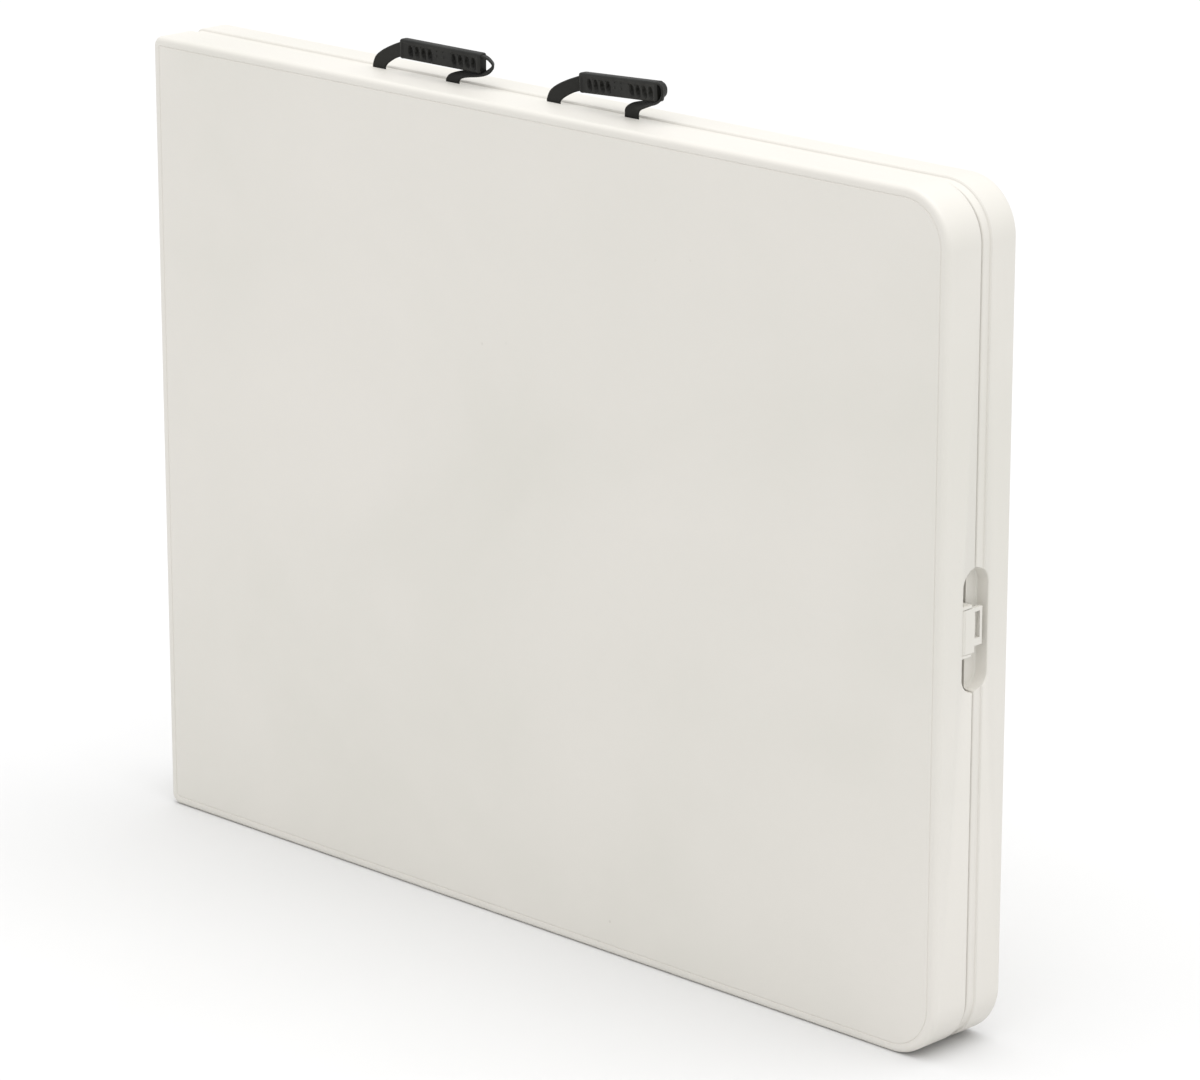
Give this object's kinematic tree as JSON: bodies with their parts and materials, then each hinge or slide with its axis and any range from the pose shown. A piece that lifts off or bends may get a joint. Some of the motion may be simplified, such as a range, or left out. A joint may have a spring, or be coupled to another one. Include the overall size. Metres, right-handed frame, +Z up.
{
  "type": "folding table",
  "caption": "Fold-in-half moulded table, closed like a suitcase: hollow top halves with hinged legs and braces stowed inside, strap carry handles and a swing latch.",
  "frame": {"origin": "centre of the footprint that the closed table stands on, at the bottom edge", "axes": "+X from the fold end to the open end, +Y from the front half to the rear half, +Z up along the table's width"},
  "size_m": [0.983, 0.088, 0.7973],
  "materials": {
    "table_shell": "fine pebbled ivory polyethylene",
    "powder_coated_steel": "satin grey powder coat",
    "zinc_plated_steel": "zinc plated",
    "foot_plastic": "matt black",
    "handle_strap": "flexible black strap",
    "handle_grip": "moulded black grip, satin"
  },
  "bodies": {
    "front_half": {"front_half_shell": "table_shell", "side_rail_front_lower": "powder_coated_steel", "hinge_leaf_front_lower": "zinc_plated_steel", "leg_bracket_front_lower": "powder_coated_steel", "side_rail_front_upper": "powder_coated_steel", "hinge_leaf_front_upper": "zinc_plated_steel", "leg_bracket_front_upper": "powder_coated_steel", "brace_anchor_front": "powder_coated_steel", "anchor_pin_front": "zinc_plated_steel", "rail_screws_front": "zinc_plated_steel", "bracket_screws_front": "zinc_plated_steel", "hinge_pin_lower": "zinc_plated_steel", "hinge_pin_upper": "zinc_plated_steel", "handle_anchor_right": "handle_strap", "handle_screws_right": "zinc_plated_steel", "latch_pin": "zinc_plated_steel"},
    "rear_half": {"rear_half_shell": "table_shell", "side_rail_rear_lower": "powder_coated_steel", "hinge_leaf_rear_lower": "zinc_plated_steel", "leg_bracket_rear_lower": "powder_coated_steel", "side_rail_rear_upper": "powder_coated_steel", "hinge_leaf_rear_upper": "zinc_plated_steel", "leg_bracket_rear_upper": "powder_coated_steel", "brace_anchor_rear": "powder_coated_steel", "anchor_pin_rear": "zinc_plated_steel", "rail_screws_rear": "zinc_plated_steel", "bracket_screws_rear": "zinc_plated_steel", "handle_anchor_left": "handle_strap", "handle_screws_left": "zinc_plated_steel", "latch_catch": "table_shell"},
    "front_leg_pair": {"pivot_tube_front": "powder_coated_steel", "leg_tube_front_lower": "powder_coated_steel", "leg_tube_front_upper": "powder_coated_steel", "crossbar_front": "powder_coated_steel", "foot_cap_front_lower": "foot_plastic", "foot_cap_front_upper": "foot_plastic", "brace_collars_front": "zinc_plated_steel"},
    "front_panel_link": {"panel_link_front": "powder_coated_steel", "knee_rivet_front": "zinc_plated_steel"},
    "front_leg_link": {"leg_link_front": "powder_coated_steel"},
    "rear_leg_pair": {"pivot_tube_rear": "powder_coated_steel", "leg_tube_rear_lower": "powder_coated_steel", "leg_tube_rear_upper": "powder_coated_steel", "crossbar_rear": "powder_coated_steel", "foot_cap_rear_lower": "foot_plastic", "foot_cap_rear_upper": "foot_plastic", "brace_collars_rear": "zinc_plated_steel"},
    "rear_panel_link": {"panel_link_rear": "powder_coated_steel", "knee_rivet_rear": "zinc_plated_steel"},
    "rear_leg_link": {"leg_link_rear": "powder_coated_steel"},
    "handle_left": {"handle_strap_left": "handle_strap", "handle_grip_left": "handle_grip"},
    "handle_right": {"handle_strap_right": "handle_strap", "handle_grip_right": "handle_grip"},
    "latch": {"latch_lever": "table_shell"}
  },
  "joints": [
    {"name": "fold", "type": "hinge", "parent": "front_half", "child": "rear_half", "pos_m": [-0.4865, 0, 0.38], "axis": [0, 0, 1], "range_deg": [0, 180]},
    {"name": "front_legs_swing", "type": "hinge", "parent": "front_half", "child": "front_leg_pair", "pos_m": [0.4515, -0.0145, 0.38], "axis": [0, 0, -1], "range_deg": [0, 90]},
    {"name": "front_panel_link_turn", "type": "hinge", "parent": "front_half", "child": "front_panel_link", "pos_m": [0.2215, -0.0145, 0.38], "axis": [0, 0, 1], "range_deg": [0, 54.3]},
    {"name": "front_leg_link_turn", "type": "hinge", "parent": "front_leg_pair", "child": "front_leg_link", "pos_m": [0.1315, -0.0145, 0.38], "axis": [0, 0, -1], "range_deg": [0, 35.72]},
    {"name": "rear_legs_swing", "type": "hinge", "parent": "rear_half", "child": "rear_leg_pair", "pos_m": [0.4515, 0.0145, 0.38], "axis": [0, 0, 1], "range_deg": [0, 90]},
    {"name": "rear_panel_link_turn", "type": "hinge", "parent": "rear_half", "child": "rear_panel_link", "pos_m": [0.2215, 0.0145, 0.38], "axis": [0, 0, -1], "range_deg": [0, 54.3]},
    {"name": "rear_leg_link_turn", "type": "hinge", "parent": "rear_leg_pair", "child": "rear_leg_link", "pos_m": [0.1315, 0.0145, 0.38], "axis": [0, 0, 1], "range_deg": [0, 35.72]},
    {"name": "latch_turn", "type": "hinge", "parent": "front_half", "child": "latch", "pos_m": [0.4855, -0.0115, 0.38], "axis": [0, 0, -1], "range_deg": [0, 75]},
    {"name": "handle_left_tilt", "type": "hinge", "parent": "rear_half", "child": "handle_left", "pos_m": [-0.177, 0, 0.7613], "axis": [1, 0, 0], "range_deg": [-70, 70]},
    {"name": "handle_right_tilt", "type": "hinge", "parent": "front_half", "child": "handle_right", "pos_m": [0.045, 0, 0.7613], "axis": [1, 0, 0], "range_deg": [-55, 65]}
  ],
  "couplings": [
    {"joint": "front_legs_swing", "follows": "fold", "ratio": 0.5},
    {"joint": "front_panel_link_turn", "follows": "fold", "ratio": 0.3016},
    {"joint": "front_leg_link_turn", "follows": "fold", "ratio": 0.1984},
    {"joint": "rear_legs_swing", "follows": "fold", "ratio": 0.5},
    {"joint": "rear_panel_link_turn", "follows": "fold", "ratio": 0.3016},
    {"joint": "rear_leg_link_turn", "follows": "fold", "ratio": 0.1984}
  ]
}
